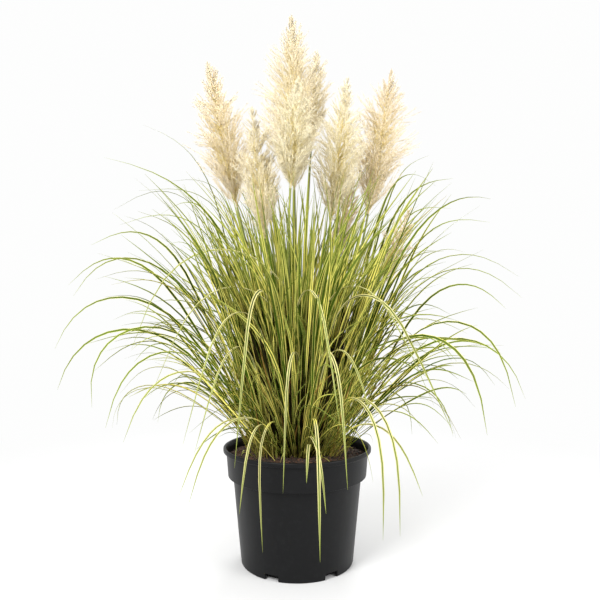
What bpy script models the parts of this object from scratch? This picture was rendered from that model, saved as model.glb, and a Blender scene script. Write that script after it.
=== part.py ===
"""Potted pampas grass: a variegated clump with ten feathery plumes in a black nursery pot.

Units are metres, +Z is up. The origin is on the floor under the middle of the pot,
and the front of the plant faces -Y. Azimuths are in degrees, counted from +X towards
+Y, so 270 is the front.
"""
import math
import random

import bmesh
import bpy
import numpy as np
from mathutils import Matrix, Vector

# Pot: a 12 litre nursery container, turned round +Z
POT_HEIGHT = 0.228
RIM_RADIUS = 0.150
BEAD_HEIGHT = 0.0088
COLLAR_RADIUS = 0.144
COLLAR_FOOT_RADIUS = 0.140
COLLAR_FOOT_HEIGHT = 0.1715
BODY_RADIUS = 0.130
FOOT_RADIUS = 0.1128
FOOT_RING_WIDTH = 0.0040
FLOOR_UNDERSIDE = 0.0080
FLOOR_THICKNESS = 0.0025
WALL = 0.0022
EDGE = 0.0016
POT_STEPS = 32
NOTCHES = 6
NOTCH_WIDTH = 0.020
NOTCH_HEIGHT = 0.012
NOTCH_DEPTH = 0.014
FIRST_NOTCH_AZIMUTH = 305

# Potting soil: it fills the pot to a finger's width below the rim
GAP = 0.0003
SOIL_TOP = 0.212
CROWN_RADIUS = 0.108
FOOT_CUT = 0.002
LUMP_HEIGHT = 0.0022

# Leaf shoots: each is a sheath with three blades that arch out in one upright plane
SHOOTS = 36
FIRST_SHOOT_AZIMUTH = 5
OUTER_RING = 0.098
INNER_RING = 0.072
SHEATH_HEIGHT = 0.085
SHEATH_LEAN = 6
SHEATH_FOOT_SCALE = 2.0
SHEATH_TOP_SCALE = 1.25
BLADE_WIDTH = 0.0060
BLADE_DEPTH = 0.0022
BLADE_SPACING = 0.0024
BLADE_FAN = 1.3
BLADE_SKEW = 0.3
BLADE_ROOT_DEPTH = 0.012
TURN_HEIGHT = 0.35
LONG_REACH = 0.22

# Each blade is (reach from the pot's axis, height of the arch, height of the tip).
# These are the blades that stand out in the clump, by the azimuth of their shoot.
TELLING_BLADES = {
    5: [(0.350, 0.800, 0.795), (0.476, 0.622, 0.588)],
    15: [(0.470, 0.710, 0.700), (0.440, 0.480, 0.300)],
    45: [(0.470, 0.925, 0.922), (0.400, 0.560, 0.430)],
    85: [(0.412, 0.620, 0.520), (0.380, 0.460, 0.300)],
    145: [(0.520, 0.800, 0.775), (0.400, 0.560, 0.430)],
    155: [(0.420, 0.930, 0.928), (0.430, 0.480, 0.330)],
    165: [(0.486, 0.660, 0.640), (0.400, 0.420, 0.250)],
    175: [(0.430, 0.840, 0.838), (0.475, 0.605, 0.540)],
    185: [(0.475, 0.532, 0.450), (0.440, 0.470, 0.340)],
    195: [(0.380, 0.690, 0.685), (0.440, 0.500, 0.330)],
    205: [(0.450, 0.590, 0.540), (0.400, 0.420, 0.230)],
    215: [(0.420, 0.600, 0.520), (0.350, 0.390, 0.190)],
    225: [(0.300, 0.450, 0.245), (0.270, 0.360, 0.150)],
    235: [(0.440, 0.600, 0.480), (0.200, 0.525, 0.255)],
    245: [(0.370, 0.495, 0.340), (0.190, 0.400, 0.155)],
    255: [(0.330, 0.560, 0.400), (0.205, 0.420, 0.105)],
    265: [(0.412, 0.600, 0.450), (0.190, 0.455, 0.170)],
    275: [(0.300, 0.390, 0.250), (0.195, 0.440, 0.090)],
    285: [(0.380, 0.600, 0.470), (0.290, 0.450, 0.240)],
    295: [(0.350, 0.450, 0.360), (0.230, 0.380, 0.180)],
    305: [(0.400, 0.580, 0.440), (0.250, 0.390, 0.140)],
    315: [(0.320, 0.568, 0.326), (0.260, 0.370, 0.150)],
    325: [(0.420, 0.560, 0.420), (0.320, 0.400, 0.200)],
    335: [(0.400, 0.620, 0.560), (0.350, 0.527, 0.317)],
    345: [(0.460, 0.500, 0.330), (0.400, 0.420, 0.230)],
    355: [(0.476, 0.510, 0.315), (0.430, 0.440, 0.260)],
}
# The other blades are spread between these least and greatest sizes.
HIGH_ARCH = ((0.35, 0.60, 0.50), (0.40, 0.72, 0.64))
LOW_ARCH = ((0.32, 0.42, 0.24), (0.39, 0.54, 0.40))
UPRIGHT = ((0.15, 0.60, 0.59), (0.20, 0.68, 0.67))
# Upright blades stay short beside the plumes that start low.
SHORT_UPRIGHT = (0.14, 0.570, 0.560)
SHORT_UPRIGHT_AZIMUTHS = (25, 35, 225, 235, 345, 355)

# Plumes on their flower stems: name, (azimuth, radius, height) of the plume's base,
# the same of its tip, half its width, and how many columns and rows of locks it has
PLUMES = [
    ("left", (189, 0.124, 0.713), (186, 0.186, 1.017), 0.045, 7, 8),
    ("front_left", (228, 0.094, 0.642), (228, 0.130, 0.897), 0.034, 7, 8),
    ("small_left", (150, 0.064, 0.684), (146, 0.080, 0.838), 0.020, 6, 6),
    ("tall", (100, 0.036, 0.762), (112, 0.034, 1.143), 0.050, 7, 9),
    ("back", (72, 0.100, 0.876), (70, 0.132, 1.110), 0.034, 6, 7),
    ("front", (262, 0.091, 0.736), (271, 0.112, 0.943), 0.036, 7, 7),
    ("right_middle", (337, 0.074, 0.681), (341, 0.108, 0.977), 0.044, 7, 8),
    ("right", (11, 0.153, 0.708), (11, 0.208, 1.027), 0.047, 7, 8),
    ("small_back", (31, 0.103, 0.613), (35, 0.152, 0.821), 0.026, 6, 6),
    ("small_right", (350, 0.176, 0.554), (350, 0.230, 0.711), 0.019, 6, 6),
]
STEM_FOOT_SPACING = 0.24
STEM_FOOT_RADIUS = 0.0036
STEM_TOP_RADIUS = 0.0022
PLUME_FOOT_RADIUS = 0.0060
PLUME_CORE = 0.56
LOCK_RISE = 0.85

BLACK_PLASTIC = ((0.021, 0.024, 0.026), 0.45)
SOIL_BROWN = ((0.035, 0.020, 0.012), 0.95)
LEAF_GREEN = ((0.33, 0.40, 0.10), 0.55)
STEM_STRAW = ((0.46, 0.42, 0.17), 0.60)
PLUME_CREAM = ((0.80, 0.69, 0.45), 0.90)


def clear_scene():
    for obj in list(bpy.data.objects):
        bpy.data.objects.remove(obj, do_unlink=True)


def add_collection(name):
    collection = bpy.data.collections.new(name)
    bpy.context.scene.collection.children.link(collection)
    return collection


def add_object(name, data, collection, material=None):
    obj = bpy.data.objects.new(name, data)
    collection.objects.link(obj)
    if material:
        obj.data.materials.clear()
        obj.data.materials.append(material)
    return obj


def add_material(name, colour, roughness):
    material = bpy.data.materials.new(name)
    material.use_nodes = True
    shader = material.node_tree.nodes["Principled BSDF"]
    shader.inputs["Base Color"].default_value = (*colour, 1)
    shader.inputs["Roughness"].default_value = roughness
    shader.inputs["Metallic"].default_value = 0
    return material


def evaluated_mesh(obj):
    """The object's mesh after its modifiers, with the loose caps of a curve welded."""
    bpy.context.view_layer.update()
    depsgraph = bpy.context.evaluated_depsgraph_get()
    mesh = bpy.data.meshes.new_from_object(obj.evaluated_get(depsgraph))
    bm = bmesh.new()
    bm.from_mesh(mesh)
    bmesh.ops.remove_doubles(bm, verts=bm.verts, dist=0.00001)
    bmesh.ops.recalc_face_normals(bm, faces=bm.faces)
    bm.to_mesh(mesh)
    bm.free()
    return mesh


def bake(obj):
    """Replaces a curve, or an object with modifiers, by the plain mesh it shows."""
    mesh = evaluated_mesh(obj)
    baked = bpy.data.objects.new(obj.name + "_mesh", mesh)
    obj.users_collection[0].objects.link(baked)
    baked.matrix_world = obj.matrix_world
    name = obj.name
    bpy.data.objects.remove(obj, do_unlink=True)
    baked.name = name
    return baked


def polar(azimuth, radius, height):
    angle = math.radians(azimuth)
    return Vector((radius * math.cos(angle), radius * math.sin(angle), height))


def add_turned(name, profile, steps, collection, material):
    """A profile of (radius, height) pairs turned round +Z, from the axis back to it."""
    mesh = bpy.data.meshes.new(name)
    edges = [(i, i + 1) for i in range(len(profile) - 1)]
    mesh.from_pydata([(r, 0, z) for r, z in profile], edges, [])
    obj = add_object(name, mesh, collection, material)
    screw = obj.modifiers.new("turn", "SCREW")
    screw.steps = screw.render_steps = steps
    screw.use_merge_vertices = True
    screw.merge_threshold = 0.00001
    return bake(obj)


def pot_inside():
    """The inner wall of the pot, from the middle of its floor up to the rim."""
    floor = FLOOR_UNDERSIDE + FLOOR_THICKNESS
    slope = (BODY_RADIUS - FOOT_RADIUS) / COLLAR_FOOT_HEIGHT
    return [
        (0, floor),
        (FOOT_RADIUS + slope * floor - WALL - EDGE, floor),
        (FOOT_RADIUS + slope * (floor + EDGE) - WALL, floor + EDGE),
        (BODY_RADIUS - WALL, COLLAR_FOOT_HEIGHT + WALL - EDGE / 2),
        (COLLAR_FOOT_RADIUS - WALL, COLLAR_FOOT_HEIGHT + WALL + EDGE / 2),
        (COLLAR_RADIUS - WALL, POT_HEIGHT - EDGE),
    ]


def pot_outside():
    """The rim, the collar, the body and the foot, down to the middle of the underside."""
    bead_foot = POT_HEIGHT - BEAD_HEIGHT
    return [
        (COLLAR_RADIUS - WALL + EDGE, POT_HEIGHT),
        (RIM_RADIUS - EDGE, POT_HEIGHT),
        (RIM_RADIUS, POT_HEIGHT - EDGE),
        (RIM_RADIUS, bead_foot + EDGE),
        (RIM_RADIUS - EDGE, bead_foot),
        (COLLAR_RADIUS, bead_foot),
        (COLLAR_FOOT_RADIUS, COLLAR_FOOT_HEIGHT + EDGE),
        (COLLAR_FOOT_RADIUS - EDGE, COLLAR_FOOT_HEIGHT),
        (BODY_RADIUS, COLLAR_FOOT_HEIGHT),
        (FOOT_RADIUS, EDGE),
        (FOOT_RADIUS - EDGE, 0),
        (FOOT_RADIUS - EDGE - FOOT_RING_WIDTH, 0),
        (FOOT_RADIUS - EDGE - FOOT_RING_WIDTH, FLOOR_UNDERSIDE),
        (0, FLOOR_UNDERSIDE),
    ]


def add_pot(collection, cutters, material):
    pot = add_turned("pot", pot_inside() + pot_outside(), POT_STEPS, collection, material)
    for i in range(NOTCHES):
        azimuth = FIRST_NOTCH_AZIMUTH + i * 360 / NOTCHES
        notch = add_notch(f"drain_notch_{i + 1}", azimuth, cutters)
        cut = pot.modifiers.new(notch.name, "BOOLEAN")
        cut.operation = "DIFFERENCE"
        cut.object = notch
    pot.data.shade_smooth()
    pot.data.set_sharp_from_angle(angle=math.radians(35))
    return pot


def add_notch(name, azimuth, cutters):
    """A drain notch's cutter: a block across the foot ring, taller than the floor is low."""
    bm = bmesh.new()
    below = 0.004
    bmesh.ops.create_cube(bm, size=1)
    size = (2 * NOTCH_DEPTH, NOTCH_WIDTH, NOTCH_HEIGHT + below)
    bmesh.ops.scale(bm, vec=size, verts=bm.verts)
    mesh = bpy.data.meshes.new(name)
    bm.to_mesh(mesh)
    bm.free()
    notch = add_object(name, mesh, cutters)
    notch.location = polar(azimuth, FOOT_RADIUS, (NOTCH_HEIGHT - below) / 2)
    notch.rotation_euler.z = math.radians(azimuth)
    notch.hide_render = True
    notch.display_type = "WIRE"
    return notch


def inset(profile, gap):
    """Moves a profile to its left by gap, each corner along the line that halves it."""
    points = np.array(profile)
    along = np.diff(points, axis=0)
    along /= np.linalg.norm(along, axis=1)[:, None]
    left = np.stack([-along[:, 1], along[:, 0]], axis=1)
    before = np.vstack([left[:1], left])
    after = np.vstack([left, left[-1:]])
    middle = before + after
    middle /= np.linalg.norm(middle, axis=1)[:, None]
    moved = points + middle * (gap / (middle * after).sum(axis=1))[:, None]
    return [(max(r, 0), z) for r, z in moved.tolist()]


def add_soil(collection, material):
    """Soil that fills the pot, level under the plant and lumpy round the edge."""
    wall = inset(pot_inside(), GAP)
    share = (SOIL_TOP - 0.003 - wall[-2][1]) / (wall[-1][1] - wall[-2][1])
    edge = (wall[-2][0] + share * (wall[-1][0] - wall[-2][0]), SOIL_TOP - 0.003)
    top = [(0, SOIL_TOP), (CROWN_RADIUS, SOIL_TOP), (0.119, SOIL_TOP), (0.130, SOIL_TOP)]
    profile = top + [edge] + wall[-2::-1]
    soil = add_turned("potting_soil", profile, POT_STEPS, collection, material)
    raise_lumps(soil.data)
    soil.data.shade_smooth()
    soil.data.set_sharp_from_angle(angle=math.radians(50))
    return soil


def raise_lumps(mesh):
    """Adds waves round and across the ring of soil between the crown and the edge."""
    points = np.empty(len(mesh.vertices) * 3)
    mesh.vertices.foreach_get("co", points)
    points = points.reshape(-1, 3)
    radius = np.hypot(points[:, 0], points[:, 1])
    angle = np.arctan2(points[:, 1], points[:, 0])
    loose = (points[:, 2] > SOIL_TOP - 0.001) & (radius > CROWN_RADIUS + 0.002)
    waves = np.sin(7 * angle + 90 * radius) * np.cos(3 * angle - 160 * radius) + np.sin(12 * angle) * 0.5
    points[loose, 2] += LUMP_HEIGHT * waves[loose]
    mesh.vertices.foreach_set("co", points.ravel())
    mesh.update()


def arch(foot_radius, reach, top, tip, count):
    """The midline of a blade in its plane, as radius and height.

    The height follows a parabola that starts at the foot, peaks at the top and ends
    at the tip. The radius grows as a power of the way along, so a blade starts
    steeply and leans out more and more.
    """
    foot_height = SOIL_TOP + GAP + BLADE_ROOT_DEPTH
    top = max(top, tip + 0.0001)
    peak = 1 / (1 + math.sqrt((top - tip) / (top - foot_height)))
    way = np.linspace(0, 1, count)
    height = top - (top - foot_height) * (1 - way / peak) ** 2
    steepness = 1.15 + 0.5 * (top - foot_height) / reach
    radius = foot_radius + (reach - foot_radius) * way ** min(steepness, 1.9)
    return radius, height


def taper(count):
    """The width of a blade along its length: narrow in the sheath, then a long point."""
    way = np.linspace(0, 1, count)
    return np.clip((0.72 + 1.1 * way) * (1 - way ** 2.2), 0.12, 1)


def add_ribbon(name, radius, height, widths, section, collection):
    """A closed three-sided ribbon along a line in the XZ plane."""
    curve = bpy.data.curves.new(name, "CURVE")
    curve.dimensions = "3D"
    curve.twist_mode = "MINIMUM"
    curve.bevel_mode = "OBJECT"
    curve.bevel_object = section
    curve.use_fill_caps = True
    spline = curve.splines.new("POLY")
    spline.points.add(len(radius) - 1)
    for point, r, z, width in zip(spline.points, radius, height, widths):
        point.co = (r, 0, z, 1)
        point.radius = width
    return bake(add_object(name, curve, collection))


def add_section(collection):
    """The keeled cross-section of a blade: a flat triangle with its edge underneath."""
    curve = bpy.data.curves.new("blade_section", "CURVE")
    spline = curve.splines.new("POLY")
    spline.points.add(2)
    corners = [(BLADE_DEPTH / 2, BLADE_WIDTH / 2), (BLADE_DEPTH / 2, -BLADE_WIDTH / 2), (-BLADE_DEPTH / 2, 0)]
    for point, (x, y) in zip(spline.points, corners):
        point.co = (x, y, 0, 1)
    spline.use_cyclic_u = True
    section = add_object("blade_section", curve, collection)
    section.hide_render = True
    section.display_type = "WIRE"
    return section


def unite(target, other):
    """Joins other into target with a Boolean union, and removes other."""
    join = target.modifiers.new("join", "BOOLEAN")
    join.operation = "UNION"
    join.solver = "EXACT"
    join.object = other
    joined = bake(target)
    bpy.data.objects.remove(other, do_unlink=True)
    return joined


def add_shoot(number, azimuth, blades, section, collection, material):
    """One shoot: a sheath that stands on the soil, and the blades that leave it."""
    name = f"leaf_shoot_{number:02d}"
    crown = OUTER_RING if number % 2 else INNER_RING
    foot = SOIL_TOP + GAP
    lean = math.tan(math.radians(SHEATH_LEAN))
    heights = np.array([foot, foot + SHEATH_HEIGHT])
    widths = (SHEATH_FOOT_SCALE, SHEATH_TOP_SCALE)
    shoot = add_ribbon(name, crown + lean * (heights - foot), heights, widths, section, collection)
    for i, (reach, top, tip) in enumerate(blades):
        count = min(4 + 2 * (reach > LONG_REACH) + round(3 * (top - tip) / TURN_HEIGHT), 8)
        radius, height = arch(crown + (i - 1) * BLADE_SPACING, reach, top, tip, count)
        blade = add_ribbon(f"{name}_blade_{i}", radius, height, taper(count), section, collection)
        blade.rotation_euler.z = math.radians((i - 1) * BLADE_FAN + BLADE_SKEW)
        shoot = unite(shoot, blade)
    stand_on_soil(shoot)
    shoot.rotation_euler.z = math.radians(azimuth)
    shoot.data.materials.clear()
    shoot.data.materials.append(material)
    return shoot


def stand_on_soil(obj):
    """Cuts the foot of a stem or sheath level, just above the soil."""
    for vertex in obj.data.vertices:
        if vertex.co.z < SOIL_TOP + FOOT_CUT:
            vertex.co.z = SOIL_TOP + GAP


def between(limits, rng):
    low, high = limits
    return tuple(a + (b - a) * rng.random() for a, b in zip(low, high))


def add_shoots(section, collection, material):
    rng = random.Random(11)
    for i in range(SHOOTS):
        azimuth = (FIRST_SHOOT_AZIMUTH + i * 360 // SHOOTS) % 360
        upright, high, low = (between(size, rng) for size in (UPRIGHT, HIGH_ARCH, LOW_ARCH))
        if azimuth in SHORT_UPRIGHT_AZIMUTHS:
            upright = SHORT_UPRIGHT
        arching = TELLING_BLADES.get(azimuth, [high, low])
        add_shoot(i + 1, azimuth, [upright] + arching, section, collection, material)


def add_stem(name, azimuth, top, top_direction, collection, material):
    """A culm from the crown to just under its plume, steeper at the foot."""
    foot_radius = STEM_FOOT_SPACING * math.hypot(top.x, top.y)
    foot = polar(azimuth, max(foot_radius, 0.022), SOIL_TOP + GAP)
    reach = (top - foot).length / 3
    controls = [foot, foot + Vector((0, 0, reach)), top - top_direction * reach, top]
    curve = bpy.data.curves.new(name, "CURVE")
    curve.dimensions = "3D"
    curve.bevel_depth = STEM_FOOT_RADIUS
    curve.bevel_resolution = 1
    curve.use_fill_caps = True
    spline = curve.splines.new("POLY")
    count = 5
    spline.points.add(count - 1)
    for i, point in enumerate(spline.points):
        t = i / (count - 1)
        weights = ((1 - t) ** 3, 3 * t * (1 - t) ** 2, 3 * t * t * (1 - t), t ** 3)
        place = sum((w * c for w, c in zip(weights, controls)), Vector())
        point.co = (*place, 1)
        point.radius = 1 + (STEM_TOP_RADIUS / STEM_FOOT_RADIUS - 1) * t
    stem = bake(add_object(name, curve, collection, material))
    stand_on_soil(stem)
    stem.data.shade_smooth()
    stem.data.set_sharp_from_angle(angle=math.radians(60))
    return stem


def plume_width(t):
    """How wide a plume is along its length: widest two fifths of the way up."""
    a, b = 0.55, 0.85
    peak = a / (a + b)
    return (t ** a) * ((1 - t) ** b) / (peak ** a * (1 - peak) ** b)


def add_plume(name, base, tip, half_width, columns, rows, collection, material):
    """A feathery flower head: a slim spindle whose every face is drawn out to a lock.

    A round ball's rings become the spindle's rings. Each ring is turned half a step
    past the one below, so the locks climb round the plume as they do on the plant.
    """
    axis = tip - base
    length = axis.length
    bands = rows + 2
    bm = bmesh.new()
    bmesh.ops.create_uvsphere(bm, u_segments=columns, v_segments=bands, radius=1)
    for vertex in bm.verts:
        ring = round(bands * (1 - math.acos(max(-1, min(1, vertex.co.z))) / math.pi))
        way = max(0, ring - 1) / (bands - 1)
        is_pole = ring in (0, bands)
        angle = math.atan2(vertex.co.y, vertex.co.x) + ring * math.pi / columns
        width = 0 if is_pole else PLUME_FOOT_RADIUS + PLUME_CORE * half_width * plume_width(min(way, 1))
        vertex.co = (width * math.cos(angle), width * math.sin(angle), way * length)
    sides = [face for face in bm.faces if len(face.verts) == 4]
    tips = bmesh.ops.poke(bm, faces=sides)["verts"]
    for vertex in tips:
        way = vertex.co.z / length
        out = Vector((vertex.co.x, vertex.co.y, 0)).normalized()
        reach = (1 - PLUME_CORE) * half_width * plume_width(way)
        rise = LOCK_RISE * length / bands * (1 - 0.5 * way)
        vertex.co += out * reach + Vector((0, 0, rise))
    upright = axis.to_track_quat("Z", "Y").to_matrix().to_4x4()
    bmesh.ops.transform(bm, matrix=Matrix.Translation(base) @ upright, verts=bm.verts)
    mesh = bpy.data.meshes.new(name)
    bm.to_mesh(mesh)
    bm.free()
    return add_object(name, mesh, collection, material)


def add_flowers(collection, stem_material, plume_material):
    for name, base, tip, half_width, columns, rows in PLUMES:
        base_point, tip_point = polar(*base), polar(*tip)
        direction = (tip_point - base_point).normalized()
        add_plume(f"plume_{name}", base_point, tip_point, half_width, columns, rows, collection, plume_material)
        top = base_point - direction * GAP
        add_stem(f"flower_stem_{name}", base[0], top, direction, collection, stem_material)


clear_scene()
parts = add_collection("potted_pampas_grass")
guides = add_collection("cutters")
add_pot(parts, guides, add_material("black_plastic", *BLACK_PLASTIC))
add_soil(parts, add_material("potting_soil", *SOIL_BROWN))
add_shoots(add_section(guides), parts, add_material("variegated_leaf", *LEAF_GREEN))
add_flowers(parts, add_material("flower_stem", *STEM_STRAW), add_material("plume", *PLUME_CREAM))
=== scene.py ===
import math
import bpy
import numpy as np
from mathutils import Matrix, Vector


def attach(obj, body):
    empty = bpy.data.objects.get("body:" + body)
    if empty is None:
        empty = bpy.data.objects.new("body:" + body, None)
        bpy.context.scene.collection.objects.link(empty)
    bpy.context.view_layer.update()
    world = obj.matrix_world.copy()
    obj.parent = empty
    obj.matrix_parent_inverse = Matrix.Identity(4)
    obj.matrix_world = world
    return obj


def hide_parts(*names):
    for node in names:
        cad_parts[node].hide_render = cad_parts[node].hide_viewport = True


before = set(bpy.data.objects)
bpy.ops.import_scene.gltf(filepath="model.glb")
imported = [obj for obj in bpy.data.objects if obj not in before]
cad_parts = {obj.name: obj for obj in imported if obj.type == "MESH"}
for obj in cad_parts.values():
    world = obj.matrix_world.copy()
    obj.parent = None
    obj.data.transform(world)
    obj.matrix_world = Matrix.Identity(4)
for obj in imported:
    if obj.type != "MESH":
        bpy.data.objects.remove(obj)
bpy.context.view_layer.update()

# The room: a pale floor that runs out into a white studio, broad soft lights, and a
# camera at the height and distance of the photograph's, looking slightly upwards.
EYE = Vector((0.0056, -1.1619, 0.487))
EYE_TILT = math.radians(1.857)
EYE_LENS = 33.79
SENSOR_WIDTH = 36
FLOOR_SIDE = 60.0
FLOOR_PAPER = (0.53, 0.53, 0.53, 1)
STUDIO_WHITE = (0.985, 0.987, 0.985)
STUDIO_GLOW = 1.0
# How far from the pot the paper starts to fade, and where only the glow is left
PAPER_FADE = (0.35, 1.6)
# Each lamp: name, place, the point it is aimed at, side and power
LAMPS = (
    ("key_light", (-1.3, -1.7, 2.1), (0.0, 0.0, 0.75), 1.1, 100),
    ("fill_light", (1.9, -1.2, 1.3), (0.0, 0.0, 0.7), 1.2, 46),
    ("back_light", (0.4, 1.9, 2.3), (0.0, 0.0, 0.95), 1.2, 52),
)


def add_node(tree, kind, settings=(), **inputs):
    """Adds a shader node, sets its own settings, and sets or links its named sockets."""
    node = tree.nodes.new("ShaderNode" + kind)
    for name, value in dict(settings).items():
        setattr(node, name, value)
    for name, value in inputs.items():
        socket = node.inputs[int(name[1:]) if name[0] == "_" else name.replace("_", " ")]
        if isinstance(value, bpy.types.NodeSocket):
            tree.links.new(value, socket)
        else:
            socket.default_value = value
    return node


def blend_colours(tree, share, first, second):
    """The first colour where the share is zero, the second where it is one."""
    return add_node(tree, "Mix", {"data_type": "RGBA"}, Factor=share, _6=first, _7=second).outputs[2]


def blank_material(name):
    """A new material and its node tree, emptied."""
    material = bpy.data.materials.new(name)
    material.use_nodes = True
    material.node_tree.nodes.clear()
    return material, material.node_tree


def finish_material(material, shader):
    """The material, with the shader joined to a new output."""
    output = add_node(material.node_tree, "OutputMaterial")
    material.node_tree.links.new(shader, output.inputs["Surface"])
    return material


def floor_material():
    """White paper near the pot, fading with distance to the studio's own white glow."""
    material, tree = blank_material("studio_floor")
    place = add_node(tree, "TexCoord").outputs["Object"]
    away = add_node(tree, "VectorMath", {"operation": "LENGTH"}, _0=place).outputs["Value"]
    fade = add_node(tree, "MapRange", {"interpolation_type": "SMOOTHSTEP"}, Value=away,
                    From_Min=PAPER_FADE[0], From_Max=PAPER_FADE[1])
    paper = add_node(tree, "BsdfPrincipled", Base_Color=FLOOR_PAPER, Roughness=0.9).outputs["BSDF"]
    glow = add_node(tree, "Emission", Color=(*STUDIO_WHITE, 1), Strength=STUDIO_GLOW).outputs["Emission"]
    shader = add_node(tree, "MixShader", _0=fade.outputs["Result"], _1=paper, _2=glow).outputs[0]
    return finish_material(material, shader)


def floor_grid(side, count):
    """A level square: both coordinates run from minus to plus half the side."""
    line = np.linspace(-side / 2, side / 2, count)
    x, y = np.meshgrid(line, line, indexing="ij")
    return np.stack([x, y, np.zeros_like(x)], axis=-1).reshape(-1, 3)


corners = np.arange(25).reshape(5, 5)
squares = np.stack([corners[:-1, :-1], corners[1:, :-1], corners[1:, 1:], corners[:-1, 1:]], -1)
floor_mesh = bpy.data.meshes.new("studio_floor")
floor_mesh.from_pydata(floor_grid(FLOOR_SIDE, 5), [], squares.reshape(-1, 4).tolist())
floor_mesh.materials.append(floor_material())
floor = bpy.data.objects.new("studio_floor", floor_mesh)
bpy.context.scene.collection.objects.link(floor)

camera = bpy.data.objects.new("camera", bpy.data.cameras.new("camera"))
camera.location = EYE
camera.rotation_euler = (math.pi / 2 + EYE_TILT, 0, 0)
camera.data.lens = EYE_LENS
camera.data.sensor_width = SENSOR_WIDTH
bpy.context.scene.collection.objects.link(camera)
bpy.context.scene.camera = camera

for name, place, target, size, power in LAMPS:
    lamp = bpy.data.objects.new(name, bpy.data.lights.new(name, "AREA"))
    lamp.data.size = size
    lamp.data.energy = power
    lamp.location = place
    lamp.rotation_euler = (Vector(target) - Vector(place)).to_track_quat("-Z", "Y").to_euler()
    bpy.context.scene.collection.objects.link(lamp)

world = bpy.data.worlds.new("studio")
world.use_nodes = True
world.node_tree.nodes["Background"].inputs["Color"].default_value = (*STUDIO_WHITE, 1)
world.node_tree.nodes["Background"].inputs["Strength"].default_value = STUDIO_GLOW
bpy.context.scene.world = world
bpy.context.scene.view_settings.view_transform = "Standard"

# The pot: one moulding of black polypropylene, with a rolled bead round the rim, a
# collar that steps in to the tapered body, and a foot ring cut by six drain notches,
# with a second ring inside it.
RIM_RADIUS = 0.150
POT_HEIGHT = 0.228
BEAD_HEIGHT = 0.0088
COLLAR_RADIUS = 0.144
COLLAR_FOOT_RADIUS = 0.140
LEDGE_HEIGHT = 0.1715
BODY_RADIUS = 0.130
FOOT_RADIUS = 0.1128
FOOT_RING_WIDTH = 0.0056
INNER_RING_INSET = 0.014
INNER_RING_WIDTH = 0.0020
INNER_RING_FOOT = 0.0008
FLOOR_UNDERSIDE = 0.0080
FLOOR_TOP = 0.0105
WALL = 0.0022
BEAD_WIDTH = 0.0050
NOTCH_AZIMUTHS = np.arange(305, 305 + 360, 60)
NOTCH_WIDTH = 0.0285
NOTCH_HEIGHT = 0.012
NOTCH_ROUNDING = 0.0025
# Degrees between the pot's points, the degrees that a notch's side spans, and the
# shares of its rounded corner at which there are points
POT_STEP = 1.5
NOTCH_SIDE = 0.05
NOTCH_CORNER_SHARES = (0.3, 0.65, 1)
PLASTIC_BLACK = (0.0054, 0.0056, 0.0060, 1)
PLASTIC_GREY = (0.013, 0.0138, 0.0146, 1)


def rounded_profile(corners, steps=5):
    """A line of (radius, height, rounding) corners with each inner one turned into an arc.

    Each arc is a quadratic curve from a point short of the corner, by its rounding, to
    one as far past it, with the corner as its middle control point.
    """
    corners = np.array(corners)
    corners, rounding = corners[:, :2], corners[1:-1, 2:]
    before, middle, after = corners[:-2], corners[1:-1], corners[2:]
    back = (before - middle) / np.linalg.norm(before - middle, axis=1)[:, None]
    on = (after - middle) / np.linalg.norm(after - middle, axis=1)[:, None]
    t = np.linspace(0, 1, steps)[None, :, None]
    start, end = (middle + back * rounding)[:, None], (middle + on * rounding)[:, None]
    arcs = (1 - t) ** 2 * start + 2 * t * (1 - t) * middle[:, None] + t ** 2 * end
    return np.concatenate([corners[:1], arcs.reshape(-1, 2), corners[-1:]])


def turned_points(profile, azimuths):
    """A profile carried round +Z: x and y are the radius along each azimuth."""
    around = np.broadcast_to(profile, (len(azimuths), *profile.shape[-2:]))
    radius, height, turn = around[..., 0], around[..., 1], azimuths[:, None]
    return np.stack([radius * np.cos(turn), radius * np.sin(turn), height], axis=-1)


def closed_turning(name, points):
    """A closed mesh from rings that start and end on the axis.

    The first and last column are one vertex each, so the poles are closed fans.
    """
    around, along = points.shape[:2]
    inner = points[:, 1:-1]
    index = np.arange(around * (along - 2)).reshape(around, along - 2)
    first, last = index.size, index.size + 1
    ahead = np.roll(index, -1, 0)
    sides = np.stack([index[:, :-1], index[:, 1:], ahead[:, 1:], ahead[:, :-1]], -1).reshape(-1, 4)
    starts = np.stack([np.full(around, first), index[:, 0], ahead[:, 0]], -1)
    ends = np.stack([np.full(around, last), ahead[:, -1], index[:, -1]], -1)
    places = np.concatenate([inner.reshape(-1, 3), points[:1, 0], points[:1, -1]])
    mesh = bpy.data.meshes.new(name)
    mesh.from_pydata(places, [], sides.tolist() + starts.tolist() + ends.tolist())
    return mesh


def pot_azimuths():
    """Even steps round the pot, with closer ones where a notch's side stands."""
    edge = math.degrees(NOTCH_WIDTH / 2 / FOOT_RADIUS)
    turn = math.degrees(NOTCH_ROUNDING / FOOT_RADIUS)
    offsets = edge - np.array([0, NOTCH_SIDE] + [turn * share for share in NOTCH_CORNER_SHARES])
    sides = (NOTCH_AZIMUTHS[:, None] + np.concatenate([-offsets, offsets])[None]).ravel() % 360
    return np.unique(np.round(np.concatenate([np.arange(0, 360, POT_STEP), sides]), 3))


def notch_height(azimuths):
    """The height of the foot's edge: zero, or the notch's top inside a notch.

    Near the notch's side the top falls away along a quarter of a circle.
    """
    away = np.abs((azimuths[:, None] - NOTCH_AZIMUTHS[None] + 180) % 360 - 180).min(1)
    inside = NOTCH_WIDTH / 2 - np.radians(away) * FOOT_RADIUS
    corner = np.clip(inside / NOTCH_ROUNDING, 0, 1)
    fall = NOTCH_ROUNDING * (1 - np.sqrt(1 - (1 - corner) ** 2))
    return np.where(inside > 0.00001, NOTCH_HEIGHT - fall, 0)


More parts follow.
